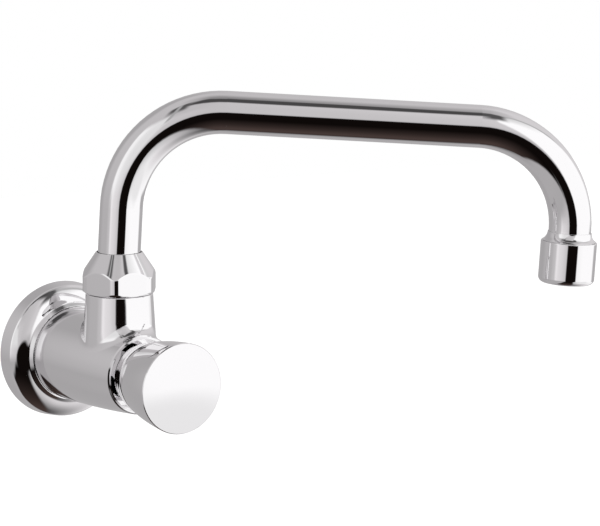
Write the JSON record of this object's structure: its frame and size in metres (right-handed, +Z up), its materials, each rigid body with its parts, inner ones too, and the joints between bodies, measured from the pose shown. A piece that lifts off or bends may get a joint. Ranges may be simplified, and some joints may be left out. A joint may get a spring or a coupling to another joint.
{
  "type": "wall-mounted self-closing basin tap",
  "caption": "Wall-mounted self-closing basin tap: a push button, a short barrel on a round rosette, and a swivelling tube spout under a union nut, with an aerator.",
  "frame": {"origin": "on the wall, at the centre of the wall rosette's back, on the axis of the inlet and the button", "axes": "+Y into the wall along the inlet, -Y out of it towards the button, +Z up along the spout's swivel axis"},
  "size_m": [0.2031, 0.1795, 0.1474],
  "materials": {
    "chrome_plate": "mirror polished",
    "bare_brass": "machined",
    "white_plastic": "moulded",
    "grey_plastic": "moulded",
    "stainless_steel": "satin",
    "black_rubber": "matt"
  },
  "bodies": {
    "tap_body": {"wall_rosette": "chrome_plate", "valve_body": "chrome_plate", "union_nut": "chrome_plate", "inlet_strainer": "grey_plastic", "valve_cage": "white_plastic", "cage_seal": "black_rubber", "timing_cylinder": "bare_brass", "cylinder_seal": "black_rubber", "gland_nut": "bare_brass", "stem_seal": "black_rubber", "return_spring": "stainless_steel", "glide_ring": "white_plastic"},
    "button": {"push_button": "chrome_plate", "valve_stem": "bare_brass", "timing_piston": "white_plastic", "piston_cup": "black_rubber", "valve_washer": "black_rubber", "washer_holder": "bare_brass", "washer_screw": "stainless_steel"},
    "spout": {"spout_tube": "chrome_plate", "spout_ferrule": "bare_brass", "ferrule_seals": "black_rubber", "outlet_fitting": "chrome_plate", "aerator_housing": "chrome_plate", "aerator_washer": "black_rubber", "aerator_insert": "grey_plastic", "aerator_screen": "stainless_steel", "flow_regulator": "grey_plastic"}
  },
  "joints": [
    {"name": "button_push", "type": "slide", "parent": "tap_body", "child": "button", "axis": [0, 1, 0], "range_m": [0, 0.0055], "stiffness_N_per_m": 1800, "springref_m": -0.008, "deforming": ["return_spring"]},
    {"name": "spout_swivel", "type": "hinge", "parent": "tap_body", "child": "spout", "pos_m": [0, -0.0509, 0], "axis": [0, 0, 1], "range_deg": [-158, 42]}
  ]
}
